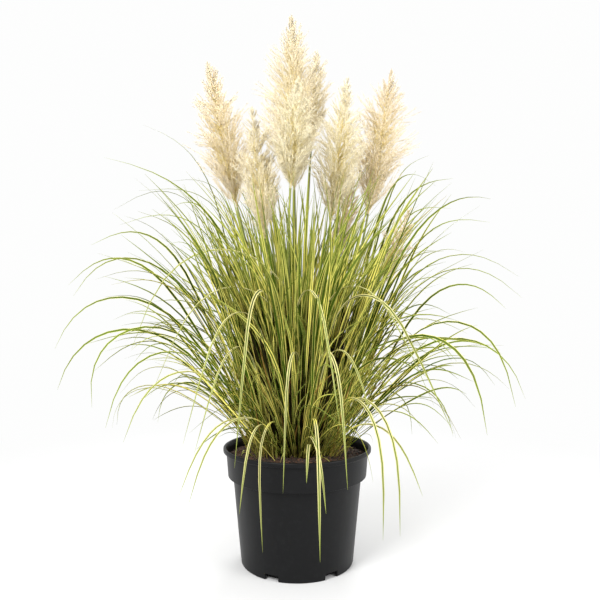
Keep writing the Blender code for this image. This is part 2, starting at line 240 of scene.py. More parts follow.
def pot_points():
    """The pot's profile round the axis, with foot and floor edge lifted in the notches.

    A point that is lifted moves outwards as the wall does, by the wall's slope.
    """
    bead_foot = POT_HEIGHT - BEAD_HEIGHT
    ring = FOOT_RADIUS - FOOT_RING_WIDTH
    recess = FOOT_RADIUS - INNER_RING_INSET
    middle = recess - INNER_RING_WIDTH
    inside = [
        (0, FLOOR_TOP, 0),
        (recess, FLOOR_TOP, 0.0003),
        (FOOT_RADIUS - 0.001, FLOOR_TOP, 0.002),
        (BODY_RADIUS - WALL, LEDGE_HEIGHT + 0.0014, 0.0012),
        (COLLAR_FOOT_RADIUS - WALL, LEDGE_HEIGHT + 0.003, 0.0012),
        (COLLAR_RADIUS - WALL, bead_foot, 0.003),
        (RIM_RADIUS - BEAD_WIDTH, POT_HEIGHT, 0.0022),
    ]
    outside = [
        (RIM_RADIUS, POT_HEIGHT, 0.0026),
        (RIM_RADIUS, bead_foot, 0.0024),
        (COLLAR_RADIUS, bead_foot, 0.0010),
        (COLLAR_FOOT_RADIUS, LEDGE_HEIGHT, 0.0011),
        (BODY_RADIUS, LEDGE_HEIGHT, 0.0009),
        (FOOT_RADIUS, 0, 0.0020),
    ]
    underside = [
        (ring, 0, 0.0009),
        (ring, FLOOR_UNDERSIDE, 0.0009),
        (recess, FLOOR_UNDERSIDE, 0.0003),
        (recess, INNER_RING_FOOT, 0.0005),
        (middle, INNER_RING_FOOT, 0.0005),
        (middle, FLOOR_UNDERSIDE, 0.0009),
        (0, FLOOR_UNDERSIDE, 0),
    ]
    profile = rounded_profile(inside + outside + underside)
    azimuths = pot_azimuths()
    lift = notch_height(azimuths)[:, None]
    inner = np.arange(len(profile)) < len(profile) // 2
    lowest = lift + np.where(inner, WALL, 0) * (lift > 0)
    radius, height = profile[:, 0], profile[:, 1]
    lifted = np.where((radius > recess - 0.0001)[None], np.maximum(height[None], lowest), height[None])
    slope = (BODY_RADIUS - FOOT_RADIUS) / LEDGE_HEIGHT
    both = np.stack([radius + slope * (lifted - height), lifted], axis=-1)
    return turned_points(both, np.radians(azimuths))


def plastic_material():
    """Black plastic: a fine moulded grain, faint flow marks up the wall, and grey dust.

    The dust lies where a noise passes its middle, and the flow marks are a noise drawn
    out upwards.
    """
    material, tree = blank_material("black_plastic")
    place = add_node(tree, "TexCoord").outputs["Object"]
    stretched = add_node(tree, "Mapping", Vector=place, Scale=(1, 1, 0.15)).outputs["Vector"]
    flow = add_node(tree, "TexNoise", Vector=stretched, Scale=38.0, Detail=3.0).outputs["Fac"]
    dust = add_node(tree, "TexNoise", Vector=place, Scale=90.0, Detail=6.0, Roughness=0.7).outputs["Fac"]
    grain = add_node(tree, "TexNoise", Vector=place, Scale=1500.0, Detail=2.0).outputs["Fac"]
    patch = add_node(tree, "MapRange", Value=dust, From_Min=0.52, From_Max=0.80, To_Max=0.6)
    colour = blend_colours(tree, patch.outputs["Result"], PLASTIC_BLACK, PLASTIC_GREY)
    rough = add_node(tree, "MapRange", Value=flow, To_Min=0.34, To_Max=0.48).outputs["Result"]
    bump = add_node(tree, "Bump", Height=grain, Strength=0.12, Distance=0.0004)
    wave = add_node(tree, "Bump", Height=flow, Normal=bump.outputs["Normal"], Strength=0.10, Distance=0.002)
    shader = add_node(tree, "BsdfPrincipled", Base_Color=colour, Roughness=rough,
                      Normal=wave.outputs["Normal"], Specular_IOR_Level=0.14)
    return finish_material(material, shader.outputs["BSDF"])


def add_piece(name, mesh, material, slot, *nodes):
    """Puts a finished mesh in the scene as a piece that stands for CAD nodes."""
    mesh.materials.append(material)
    piece = bpy.data.objects.new(name, mesh)
    bpy.context.scene.collection.objects.link(piece)
    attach(piece, "root")
    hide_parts(*nodes)
    return piece


pot_mesh = closed_turning("nursery_pot", pot_points())
pot_mesh.shade_smooth()
pot_mesh.set_sharp_from_angle(angle=math.radians(40))
add_piece("nursery_pot", pot_mesh, plastic_material(), "black_plastic", "pot")

# The soil: dark, moist potting mix of peat and bark, in crumbs of all sizes, pressed
# down under the crown and a finger's width below the rim.
SOIL_TOP = 0.212
SOIL_BOTTOM = 0.017
SOIL_EDGE = 0.1395
SOIL_RINGS = 74
# The bed's side from the pot's ledge down to the floor, as (radius, height)
SOIL_WALL = ((0.1370, 0.180), (0.1268, 0.168), (0.1100, SOIL_BOTTOM), (0, SOIL_BOTTOM))
# Lumps as (height, size), and how much lower the soil is at the wall
SOIL_LUMPS = ((0.0024, 0.021), (0.0016, 0.0085), (0.0008, 0.0036))
SOIL_DIP = 0.0030
CRUMBS = 1700
CRUMB_RADIUS = (0.0008, 0.0034)
CRUMB_LATITUDES = (-72, -25, 25, 72)
CRUMB_DENTS = (0.72, 1.2)
CRUMB_SQUASH = (0.45, 0.9)
CRUMB_STRETCH = (0.7, 1.7)
SOIL_DARK = (0.022, 0.012, 0.008, 1)
SOIL_RED = (0.16, 0.066, 0.030, 1)


def lattice_noise(x, y, size, seed):
    """Smooth random heights from -1 to 1: values on a square lattice, blended between.

    A corner's value is the broken part of a large multiple of a sine of its numbers.
    """
    u, v = x / size, y / size
    i, j = np.floor(u).astype(int), np.floor(v).astype(int)
    fu, fv = u - i, v - j
    fu, fv = fu * fu * (3 - 2 * fu), fv * fv * (3 - 2 * fv)

    def value(a, b):
        return np.modf(np.abs(np.sin(a * 127.1 + b * 311.7 + seed * 74.7) * 43758.5453))[0] * 2 - 1

    low = value(i, j) * (1 - fu) + value(i + 1, j) * fu
    high = value(i, j + 1) * (1 - fu) + value(i + 1, j + 1) * fu
    return low * (1 - fv) + high * fv


def soil_height(x, y):
    """The soil's surface: a sum of lumps of three sizes, less the dip by the wall.

    The dip grows with the fourth power of the distance from the axis.
    """
    heights = [rise * lattice_noise(x, y, size, seed + 1) for seed, (rise, size) in enumerate(SOIL_LUMPS)]
    return SOIL_TOP + sum(heights) - SOIL_DIP * (np.hypot(x, y) / SOIL_EDGE) ** 4


def soil_points():
    """Rings of the surface from the middle out, then the wall down to a flat underside."""
    azimuths = np.radians(np.arange(0, 360, POT_STEP))[:, None]
    radius = np.concatenate([[0], np.linspace(0.004, SOIL_EDGE, SOIL_RINGS)])[None]
    x, y = radius * np.cos(azimuths), radius * np.sin(azimuths)
    top = np.stack([x, y, soil_height(x, y)], axis=-1)
    return np.concatenate([top, turned_points(np.array(SOIL_WALL), azimuths[:, 0])], axis=1)


def soil_material():
    """Dark peat with redder bark bits, picked out by cells, and a rough crumbly bump."""
    material, tree = blank_material("potting_soil")
    place = add_node(tree, "TexCoord").outputs["Object"]
    cells = add_node(tree, "TexVoronoi", Vector=place, Scale=260.0).outputs["Color"]
    pick = add_node(tree, "SeparateColor", Color=cells).outputs["Red"]
    bark = add_node(tree, "MapRange", Value=pick, From_Min=0.55, From_Max=0.95).outputs["Result"]
    damp = add_node(tree, "TexNoise", Vector=place, Scale=55.0, Detail=5.0).outputs["Fac"]
    share = add_node(tree, "Math", {"operation": "MULTIPLY"}, _0=bark, _1=damp).outputs[0]
    colour = blend_colours(tree, share, SOIL_DARK, SOIL_RED)
    crumbs = add_node(tree, "TexNoise", Vector=place, Scale=420.0, Detail=6.0, Roughness=0.75).outputs["Fac"]
    bump = add_node(tree, "Bump", Height=crumbs, Strength=0.9, Distance=0.0015).outputs["Normal"]
    shader = add_node(tree, "BsdfPrincipled", Base_Color=colour, Roughness=0.9, Normal=bump)
    return finish_material(material, shader.outputs["BSDF"])


def crumb_mesh(name, rng):
    """Loose crumbs and bark chips: lumps of four rings with six corners each.

    A ring's height and radius are a ball's at its latitude. Each corner is pushed in or
    out by chance, and the whole is stretched along x and squashed in height.
    """
    size = rng.uniform(*CRUMB_RADIUS, (CRUMBS, 1, 1)) * rng.uniform(0.5, 1.0, (CRUMBS, 1, 1))
    turn, spread = rng.uniform(0, 2 * np.pi, (2, CRUMBS))
    radius = SOIL_EDGE * 0.985 * np.sqrt(rng.uniform(0.02, 1, CRUMBS))
    lat = np.radians(CRUMB_LATITUDES)[None, :, None]
    lon = (np.arange(6) * np.pi / 3)[None, None] + turn[:, None, None]
    bulge = rng.uniform(*CRUMB_DENTS, (CRUMBS, len(CRUMB_LATITUDES), 6)) * size
    squash = rng.uniform(*CRUMB_SQUASH, (CRUMBS, 1, 1))
    x0, y0 = radius * np.cos(spread), radius * np.sin(spread)
    stretch = rng.uniform(*CRUMB_STRETCH, (CRUMBS, 1, 1))
    x = x0[:, None, None] + bulge * np.cos(lat) * np.cos(lon) * stretch
    y = y0[:, None, None] + bulge * np.cos(lat) * np.sin(lon)
    z = soil_height(x0, y0)[:, None, None] + bulge * np.sin(lat) * squash + size * 0.3
    return swept_mesh(name, np.stack([x, y, z], axis=-1))


def swept_mesh(name, rings):
    """Closed bodies from rings: an array of bodies by rings by corners by x, y and z.

    Quads join each ring to the next, and the first and last rings are filled.
    """
    bodies, count, corners = rings.shape[:3]
    index = np.arange(bodies * count * corners).reshape(bodies, count, corners)
    here, ahead = index[:, :-1], index[:, 1:]
    sides = np.stack([here, np.roll(here, -1, 2), np.roll(ahead, -1, 2), ahead], -1).reshape(-1, 4)
    caps = np.concatenate([index[:, 0, ::-1], index[:, -1]])
    mesh = bpy.data.meshes.new(name)
    mesh.from_pydata(rings.reshape(-1, 3), [], sides.tolist() + caps.tolist())
    return mesh


soil_finish = soil_material()
soil_mesh = closed_turning("potting_soil_bed", soil_points())
soil_mesh.shade_smooth()
add_piece("potting_soil_bed", soil_mesh, soil_finish, "potting_soil", "potting_soil")
crumbs = crumb_mesh("potting_soil_crumbs", np.random.default_rng(5))
add_piece("potting_soil_crumbs", crumbs, soil_finish, "potting_soil", "potting_soil")

# The leaves: tufts of narrow blades, folded along the midrib, green with pale yellow
# margins. Each tuft grows from one shoot and its blades arch outwards.
SHOOTS = 36
FIRST_SHOOT_AZIMUTH = 5
OUTER_RING = 0.098
INNER_RING = 0.072
BLADE_WIDTH = 0.0076
BLADE_RINGS = 15
FINE_STEPS = 120
BLADE_THICKNESS = 0.0005
# How far below the soil's top a blade starts
BLADE_ROOTED = 0.002
# The blades that stand out, by the azimuth of their shoot: heading, launch angle,
# length, bend, the share of the length where half the bend is reached, and sharpness
TELLING_BLADES = {
    5: [(5, 74, 0.64, 82, 0.80, 2.2), (5, 65, 0.56, 108, 0.77, 2.2)],
    15: [(15, 74, 0.645, 76, 0.84, 2.6), (12, 42, 0.40, 92, 0.70, 2.0)],
    25: [(25, 78, 0.735, 68, 0.80, 2.0)],
    35: [(34, 74, 0.785, 94, 0.85, 2.6)],
    45: [(31, 73.8, 0.77, 50, 0.86, 2.6), (40, 60, 0.48, 110, 0.72, 2.0)],
    85: [(85, 74, 0.58, 78, 0.76, 2.0), (75, 60, 0.44, 120, 0.70, 2.0)],
    145: [(150, 78, 0.705, 100, 0.82, 2.6), (165, 50, 0.355, 132, 0.68, 2.0)],
    155: [(163, 82, 0.71, 84, 0.82, 3.0), (165, 46, 0.47, 62, 0.72, 2.0)],
    165: [(168, 83.5, 0.795, 60, 0.80, 2.0), (168, 70.5, 0.675, 94, 0.78, 2.2)],
    175: [(176, 88, 0.78, 74, 0.66, 1.6), (176, 62, 0.65, 106, 0.79, 2.2)],
    185: [(185, 82, 0.70, 114, 0.80, 2.6), (185, 70, 0.61, 138, 0.71, 1.6)],
    195: [(193, 84, 0.67, 92, 0.79, 2.6), (193, 68.5, 0.625, 128, 0.78, 2.0)],
    205: [(200, 85, 0.63, 108, 0.77, 2.2), (202, 67, 0.54, 142, 0.70, 1.5)],
    215: [(212, 67, 0.56, 32, 0.70, 1.8), (212, 64, 0.56, 160, 0.715, 1.7)],
    225: [(223, 64, 0.485, 140, 0.67, 1.8), (224, 65, 0.43, 134, 0.63, 1.8), (243, 86, 0.48, 150, 0.52, 3.5)],
    235: [(241, 83, 0.605, 150, 0.54, 3.2), (232, 58, 0.33, 120, 0.50, 1.8)],
    245: [(254, 87, 0.68, 164, 0.52, 5.0), (249, 72, 0.281, 147, 0.42, 2.5)],
    255: [(245, 72, 0.361, 168, 0.34, 3.0), (228, 60, 0.34, 130, 0.50, 1.8)],
    265: [(290, 90, 0.645, 160, 0.55, 3.8)],
    275: [(286, 62, 0.246, 134, 0.42, 2.0), (257.5, 92, 0.505, 174, 0.47, 4.0)],
    285: [(275.5, 78, 0.372, 162, 0.34, 3.0), (265, 70, 0.15, 130, 0.45, 2.0),
          (272, 70, 0.53, 130, 0.72, 2.2)],
    295: [(284, 83, 0.515, 162, 0.50, 3.0), (294, 80, 0.425, 140, 0.60, 2.6),
          (198, 80, 0.655, 148, 0.59, 3.0), (309, 90, 0.665, 150, 0.55, 3.0)],
    305: [(299, 80, 0.441, 172, 0.42, 2.2), (306, 78, 0.439, 168, 0.43, 2.1),
          (320, 89, 0.655, 152, 0.525, 4.0)],
    315: [(317, 64, 0.56, 146, 0.65, 2.0), (315, 50, 0.31, 115, 0.52, 2.0),
          (195, 84.5, 0.76, 156, 0.63, 2.1)],
    325: [(325, 63.5, 0.56, 142, 0.68, 2.2)],
    335: [(335, 68, 0.59, 112, 0.76, 2.0), (335, 61, 0.37, 140, 0.66, 1.8)],
    345: [(345, 74, 0.575, 42, 0.74, 1.8), (345, 67, 0.52, 140, 0.67, 1.6)],
    355: [(355, 71, 0.63, 106, 0.75, 2.0), (355, 50, 0.44, 78, 0.77, 2.2)],
}
# The telling blades that fold early are the pale yellow ones over the front. A tone runs
# from green, at zero, to yellow, and pale blades, of tone one, start with the green tone
PALE_FOLD = 0.63
GREEN_TONE = 0.12
# The other blades of a tuft, by kind: how many, how far their headings scatter, and
# the least and greatest of the foot's distance from the axis, the launch angle, the
# length, the bend and the width
BLADE_KINDS = (
    ("upright", 18, 20, (0.006, 0.084), (68, 89), (0.32, 0.62), (4, 48), (0.58, 1.02)),
    ("long arc", 5, 6, (0.046, 0.088), (44, 78), (0.44, 0.68), (35, 100), (0.42, 0.80)),
    ("low arc", 1, 6, (0.060, 0.090), (32, 58), (0.24, 0.42), (60, 130), (0.35, 0.75)),
    ("short", 6, 14, (0.030, 0.082), (46, 84), (0.14, 0.34), (5, 60), (0.35, 0.75)),
    ("curl", 1, 40, (0.050, 0.105), (20, 80), (0.04, 0.11), (60, 220), (0.20, 0.35)),
    ("dry", 2, 24, (0.040, 0.088), (52, 88), (0.10, 0.30), (0, 60), (0.25, 0.5)),
)
# A sector at the front where the arcs are the telling blades, and most others stand up:
# its azimuths, the arcs of each kind, how far from the axis the crown stands there and
# elsewhere, and the share of their length that its chance blades keep
FRONT_SECTOR = (225, 315)
FRONT_ARCS = 1
FRONT_CROWN = 0.046
OTHER_CROWN = 0.09
FRONT_SHORTER = 0.94
# The share of its length over which a front blade leans out from the crown to its line
SETTLED = 0.24
# How far the chance blades may reach, in x and in y, and the share of it for the least
SPREAD_LIMIT = (0.42, 0.375)
LEAST_SPREAD = 0.72
# By chance: degrees between a blade's foot and its shoot, how far a blade's heading
# veers, where it folds and how sharply, its crease, and how its twist grows
FOOT_SCATTER = 9
VEER_SCATTER = 22
FOLDS = (0.62, 0.86)
SHARPNESS = (1.6, 2.6)
CREASES = (0.30, 0.90)
TWIST_SCATTER = 0.3
CHANCE_TWIST_GROWTH = 1.1
# Telling blades are of a middling width, flatter, and turned towards the viewer
TELLING_WIDTHS = (0.56, 0.84)
TELLING_CREASE = 0.6
TELLING_TURN = 0.85
# Tones to choose from, with their scatter, and the share that the long arcs keep
TONES = (0.0, 0.1, 0.44, 0.78, 0.88)
TONE_SCATTER = 0.1
ARC_TONE = 0.45
DRY_AGE = 0.9
LEAF_GREEN = (0.100, 0.182, 0.010, 1)
LEAF_DEEP_GREEN = (0.019, 0.045, 0.002, 1)
LEAF_YELLOW = (0.98, 0.91, 0.25, 1)
LEAF_PALE = (0.76, 0.71, 0.34, 1)
LEAF_TIP = (0.32, 0.38, 0.07, 1)
LEAF_STRAW = (0.42, 0.24, 0.06, 1)
# Near-black thatch for the stubs in the heart: partly old leaves, partly painted shade between the blades
LEAF_THATCH_SHADE = (0.022, 0.018, 0.003, 1)
LEAF_TRANSLUCENCE = 0.43
HEART_STUBS = 620
HEART_RADIUS = 0.048
STUB_RINGS = 6
STUB_LAUNCH = 89
STUB_LEAN = 16
STUB_LENGTHS = (0.10, 0.36)
STUB_WIDTHS = (0.4, 0.9)


def bent_lines(start, foot, heading, launch, length, bend, fold, sharp, veer, rings=BLADE_RINGS):
    """The midlines of blades, as blades by rings by x, y and z, and each ring's way along.

    A blade leaves the soil at its launch angle and is nearly straight at first. Its
    slope falls by the bend, along an S-shaped curve that is half done at the fold and
    is steeper the sharper the blade folds. Its heading turns by the veer in the same
    way. The points are running sums of equal short steps, and rings are kept where the
    way along, plus the bend so far in right angles, passes equal shares of its end.
    """
    ratio, sharp = (fold / (1 - fold))[:, None], sharp[:, None]
    edges = np.linspace(0.001, 0.999, FINE_STEPS + 1)[None]
    turned_at = 1 / (1 + (ratio * (1 - edges) / edges) ** sharp)
    turned = (turned_at[:, 1:] + turned_at[:, :-1]) / 2
    slope = np.radians(launch[:, None] - bend[:, None] * turned)
    turn = np.radians(heading[:, None] + veer[:, None] * turned)
    step = (length / FINE_STEPS)[:, None]
    level = np.cos(slope)
    steps = np.stack([level * np.cos(turn), level * np.sin(turn), np.sin(slope)], -1) * step[..., None]
    angle = np.radians(start)
    root_height = np.full(len(foot), SOIL_TOP - BLADE_ROOTED)
    base = np.stack([foot * np.cos(angle), foot * np.sin(angle), root_height], -1)[:, None]
    points = np.concatenate([base, base + np.cumsum(steps, axis=1)], axis=1)
    spent = edges + bend[:, None] / 90 * turned_at
    spent = (spent - spent[:, :1]) / (spent[:, -1:] - spent[:, :1])
    picks = (spent[..., None] < np.linspace(0, 1, rings)).sum(axis=1)
    return np.take_along_axis(points, picks[..., None], axis=1), picks / FINE_STEPS


def polar(azimuth, radius, height):
    """The point at this azimuth in degrees, distance from the pot's axis and height."""
    turn = math.radians(azimuth)
    return np.array([radius * math.cos(turn), radius * math.sin(turn), height])


def unit(vectors):
    """The same directions with a length of one."""
    return vectors / np.maximum(np.linalg.norm(vectors, axis=-1, keepdims=True), 1e-9)


def blade_rings(lines, way, azimuth, width, fold, twist):
    """Four corners round each point of a midline: margin, upper midrib, margin, keel.

    The margins stand half a width to each side and are raised by the fold. Side and
    normal turn about the line by the twist, which grows with the way along to the power
    of 1.5. The width is the least of one and (0.34 + 1.8 way) times (1 - way to the
    power of 2.4), so it swells from the sheath and then runs out to a long point.
    """
    way = way[..., None]
    along = unit(np.gradient(lines, axis=1))
    turn = np.radians(azimuth)[:, None]
    level = np.stack([-np.sin(turn), np.cos(turn), np.zeros_like(turn)], axis=-1)
    side = unit(level - along * (level * along).sum(-1, keepdims=True))
    normal = np.cross(along, side)
    angle = twist[0][:, None, None] + twist[1][:, None, None] * way ** 1.5
    across = side * np.cos(angle) + normal * np.sin(angle)
    upward = normal * np.cos(angle) - side * np.sin(angle)
    taper = np.clip((0.34 + 1.8 * way) * (1 - way ** 2.4), 0.05, 1)
    half = width[:, None, None] / 2 * taper
    bend = fold[:, None, None]
    rib = upward * BLADE_THICKNESS / 2 * np.clip(taper, 0.2, 1)
    lift, spread = upward * half * np.sin(bend), across * half * np.cos(bend)
    return np.stack([lines - spread + lift, lines - rib, lines + spread + lift, lines + rib], axis=2)


def blade_mesh(name, rings, way, tone, age, thatch_shade):
    """Blades as one mesh: across and along as UV, and each blade's tone, age and thatch mark, which turns it
    near-black as painted shade.

    The pale blades, of tone one, are green at first. Their tone rises evenly to one
    between 0.23 and 0.38 of the way along, before they fold.
    """
    mesh = swept_mesh(name, rings)
    corners = rings.shape[:3]
    turning = np.clip(6.5 * way - 1.5, 0, 1)
    tone = np.where(tone[:, None] < 1, tone[:, None], GREEN_TONE + (1 - GREEN_TONE) * turning)
    across = np.broadcast_to(np.array([0, 0.5, 1, 0.5])[None, None], corners)
    along = np.broadcast_to(way[..., None], corners)
    corner = np.empty(len(mesh.loops), dtype=np.int32)
    mesh.loops.foreach_get("vertex_index", corner)
    uv = np.stack([across.ravel(), along.ravel()], axis=-1)[corner]
    mesh.uv_layers.new(name="blade").data.foreach_set("uv", uv.ravel())
    growth = mesh.color_attributes.new("growth", "FLOAT_COLOR", "POINT")
    marks = (tone, age[:, None], thatch_shade[:, None], np.ones((1, 1)))
    spread = [np.broadcast_to(mark[..., None], corners) for mark in marks]
    growth.data.foreach_set("color", np.stack(spread, axis=-1).ravel())
    mesh.shade_smooth()
    mesh.set_sharp_from_angle(angle=math.radians(80))
    return mesh


def leaf_material():
    """A variegated leaf: green in the middle and yellow along both margins.

    The border between them is where the distance from the stripe's middle, which is
    each blade's own, passes a limit that is moved by the blade's tone and by noise drawn
    out along the blade. The tip is paler, straw comes in at the foot and with age, and
    blades marked as thatch are near-black: old leaves, made this dark as painted shade.
    """
    material, tree = blank_material("variegated_leaf")
    uv = add_node(tree, "UVMap", {"uv_map": "blade"}).outputs["UV"]
    axes = add_node(tree, "SeparateXYZ", Vector=uv)
    growth = add_node(tree, "Attribute", {"attribute_name": "growth"}).outputs["Color"]
    parts = add_node(tree, "SeparateColor", Color=growth)
    tone, age = parts.outputs["Red"], parts.outputs["Green"]
    place = add_node(tree, "TexCoord").outputs["Object"]
    drawn = add_node(tree, "Mapping", Vector=uv, Scale=(9, 3, 1)).outputs["Vector"]
    shifted = add_node(tree, "CombineXYZ", Z=tone).outputs[0]
    spot = add_node(tree, "VectorMath", {"operation": "MULTIPLY_ADD"}, _0=shifted, _1=(0, 0, 90), _2=drawn)
    streak = add_node(tree, "TexNoise", Vector=spot.outputs[0], Scale=1.0, Detail=3.0).outputs["Fac"]
    apart = add_node(tree, "VectorMath", {"operation": "SCALE"}, _0=shifted, Scale=370.0).outputs[0]
    own = add_node(tree, "TexNoise", Vector=apart, Scale=1.0, Detail=0.0).outputs["Fac"]
    centre = add_node(tree, "MapRange", Value=own, From_Min=0.3, From_Max=0.7,
                      To_Min=0.32, To_Max=0.68).outputs["Result"]
    offset = add_node(tree, "Math", {"operation": "SUBTRACT"}, _0=axes.outputs["X"], _1=centre).outputs[0]
    away = add_node(tree, "Math", {"operation": "ABSOLUTE"}, _0=offset).outputs[0]
    limit = add_node(tree, "MapRange", Value=tone, To_Min=0.44, To_Max=0.10).outputs["Result"]
    pale = add_node(tree, "MapRange", Value=tone, From_Min=0.9, From_Max=1.0).outputs["Result"]
    wider = add_node(tree, "Math", {"operation": "MULTIPLY_ADD"}, _0=pale, _1=0.09, _2=limit).outputs[0]
    moved = add_node(tree, "Math", {"operation": "MULTIPLY_ADD"}, _0=streak, _1=0.16, _2=away).outputs[0]
    over = add_node(tree, "Math", {"operation": "SUBTRACT"}, _0=moved, _1=wider).outputs[0]
    margin = add_node(tree, "MapRange", {"interpolation_type": "SMOOTHSTEP"}, Value=over,
                      From_Min=0.04, From_Max=0.12).outputs["Result"]
    cloud = add_node(tree, "TexNoise", Vector=place, Scale=9.0, Detail=2.0).outputs["Fac"]
    depth = add_node(tree, "MapRange", Value=cloud, From_Min=0.35, From_Max=0.65).outputs["Result"]
    green = blend_colours(tree, depth, LEAF_DEEP_GREEN, LEAF_GREEN)
    border = blend_colours(tree, pale, LEAF_YELLOW, LEAF_PALE)
    fresh = blend_colours(tree, margin, green, border)
    tip = add_node(tree, "MapRange", Value=axes.outputs["Y"], From_Min=0.60, To_Max=0.85).outputs["Result"]
    foot = add_node(tree, "MapRange", Value=axes.outputs["Y"], From_Min=0.02, From_Max=0.16,
                    To_Min=0.8, To_Max=0.0).outputs["Result"]
    brown = add_node(tree, "MapRange", Value=own, From_Min=0.44, From_Max=0.60).outputs["Result"]
    sheath = add_node(tree, "Math", {"operation": "MULTIPLY"}, _0=foot, _1=brown).outputs[0]
    dry = add_node(tree, "Math", {"operation": "MAXIMUM"}, _0=sheath, _1=age).outputs[0]
    paler = blend_colours(tree, tip, fresh, LEAF_TIP)
    straw = blend_colours(tree, dry, paler, LEAF_STRAW)
    # Blades marked as thatch turn near-black: painted shade in the heart of the clump
    colour = blend_colours(tree, parts.outputs["Blue"], straw, LEAF_THATCH_SHADE)
    veins = add_node(tree, "TexWave", {"bands_direction": "X"}, Vector=uv, Scale=5.0).outputs["Fac"]
    bump = add_node(tree, "Bump", Height=veins, Strength=0.25, Distance=0.0003).outputs["Normal"]
    skin = add_node(tree, "BsdfPrincipled", Base_Color=colour, Roughness=0.48,
                    Specular_IOR_Level=0.12, Normal=bump).outputs["BSDF"]
    glow = add_node(tree, "BsdfTranslucent", Color=colour).outputs["BSDF"]
    shader = add_node(tree, "MixShader", _0=LEAF_TRANSLUCENCE, _1=skin, _2=glow).outputs[0]
    return finish_material(material, shader)


def tuft(number, azimuth, rng):
    """All blades of one shoot: its telling ones, and chance ones of each kind.

    Front telling blades are drawn in towards the axis at their feet. A chance blade that
    would reach past its share of an ellipse, by x and y over the spread limits, is
    scaled down about its foot.
    """
    front = FRONT_SECTOR[0] <= azimuth <= FRONT_SECTOR[1]
    crown = OUTER_RING if number % 2 else INNER_RING
    telling = np.array(TELLING_BLADES.get(azimuth, [])).reshape(-1, 6).T
    named = telling.shape[1]
    shoot = np.full(named, azimuth), np.full(named, crown)
    named_lines, named_way = bent_lines(*shoot, *telling, np.zeros(named))
    if front:
        settle = np.clip(1 - named_way / SETTLED, 0, 1)[..., None] ** 1.5
        named_lines += settle * polar(azimuth, FRONT_CROWN - crown, 0)
    kinds = []
    for kind, count, scatter, *spans in BLADE_KINDS:
        count = FRONT_ARCS if front and "arc" in kind else count
        heading = azimuth + rng.normal(0, scatter, count)
        dry = np.full(count, DRY_AGE if kind == "dry" else 0)
        yellow = np.full(count, ARC_TONE if "arc" in kind else 1)
        kinds.append(np.stack([heading, dry, yellow] + [rng.uniform(*span, count) for span in spans], -1))
    heading, dry, yellow, foot, launch, length, bend, breadth = np.concatenate(kinds).T
    chance = len(foot)
    if front:
        foot, length = foot * FRONT_CROWN / OTHER_CROWN, length * FRONT_SHORTER
    start = azimuth + rng.normal(0, FOOT_SCATTER, chance)
    fold, sharp = rng.uniform(*FOLDS, chance), rng.uniform(*SHARPNESS, chance)
    veer = rng.normal(0, VEER_SCATTER, chance)
    lines, way = bent_lines(start, foot, heading, launch, length, bend, fold, sharp, veer)
    reach = np.hypot(lines[..., 0] / SPREAD_LIMIT[0], lines[..., 1] / SPREAD_LIMIT[1]).max(1)
    past = reach / rng.uniform(LEAST_SPREAD, 1, chance)
    lines = lines[:, :1] + (lines - lines[:, :1]) / np.maximum(past, 1)[:, None, None]
    lines, way = np.concatenate([named_lines, lines]), np.concatenate([named_way, way])
    heading = np.concatenate([telling[0], heading])
    blades = named + chance
    width = BLADE_WIDTH * np.concatenate([rng.uniform(*TELLING_WIDTHS, named), breadth])
    crease = rng.uniform(*CREASES, blades) * np.where(np.arange(blades) < named, TELLING_CREASE, 1)
    turned = np.concatenate([TELLING_TURN * np.cos(np.radians(telling[0])), np.zeros(chance)])
    twist = turned + rng.normal(0, TWIST_SCATTER, blades)
    growing = [rng.normal(0, TWIST_SCATTER, named), rng.normal(0, CHANCE_TWIST_GROWTH, chance)]
    tone = rng.choice(TONES, blades) + rng.normal(0, TONE_SCATTER, blades)
    tone = np.clip(tone, 0, 0.9)
    tone[named:] *= yellow
    tone[:named] = np.where(telling[4] <= PALE_FOLD, 1, GREEN_TONE)
    age = np.concatenate([np.zeros(named), np.maximum(dry, rng.normal(-0.12, 0.16, chance))])
    age = age.clip(0, DRY_AGE)
    rings = blade_rings(lines, way, heading, width, crease, (twist, np.concatenate(growing)))
    return blade_mesh(f"leaf_tuft_{number:02d}", rings, way, tone, age, age * 0)


def heart_rings(rng):
    """Stubs of old leaves packed in the heart of the clump, each a short upright blade that is coloured
    near-black as painted shade in the gaps.

    Their feet are spread evenly over a disc, and each leans outwards by its distance
    from the axis.
    """
    start, foot = rng.uniform(0, 360, HEART_STUBS), HEART_RADIUS * np.sqrt(rng.uniform(0, 1, HEART_STUBS))
    launch = STUB_LAUNCH - STUB_LEAN * foot / HEART_RADIUS + rng.normal(0, 3, HEART_STUBS)
    length, bend = rng.uniform(*STUB_LENGTHS, HEART_STUBS), rng.uniform(0, 14, HEART_STUBS)
    level = np.full(HEART_STUBS, 0.7)
    lines, way = bent_lines(start, foot, start, launch, length, bend, level, level * 3, level * 0, STUB_RINGS)
    width = BLADE_WIDTH * rng.uniform(*STUB_WIDTHS, HEART_STUBS)
    return blade_rings(lines, way, rng.uniform(0, 360, HEART_STUBS), width, level, (level, level)), way


leaf_finish = leaf_material()
leaf_rng = np.random.default_rng(31)
for number in range(1, SHOOTS + 1):
    shoot_azimuth = (FIRST_SHOOT_AZIMUTH + (number - 1) * 10) % 360
    mesh = tuft(number, shoot_azimuth, leaf_rng)
    add_piece(mesh.name, mesh, leaf_finish, "variegated_leaf", f"leaf_shoot_{number:02d}")
# The heart's stubs are all marked as thatch, so they are near-black: painted shade between the blades
stubs = np.ones(HEART_STUBS)
heart = blade_mesh("old_leaf_heart_and_shade", *heart_rings(leaf_rng), stubs * 0.4, stubs * 0.5, stubs)
all_shoots = [f"leaf_shoot_{number:02d}" for number in range(1, SHOOTS + 1)]
add_piece(heart.name, heart, leaf_finish, "variegated_leaf", *all_shoots)
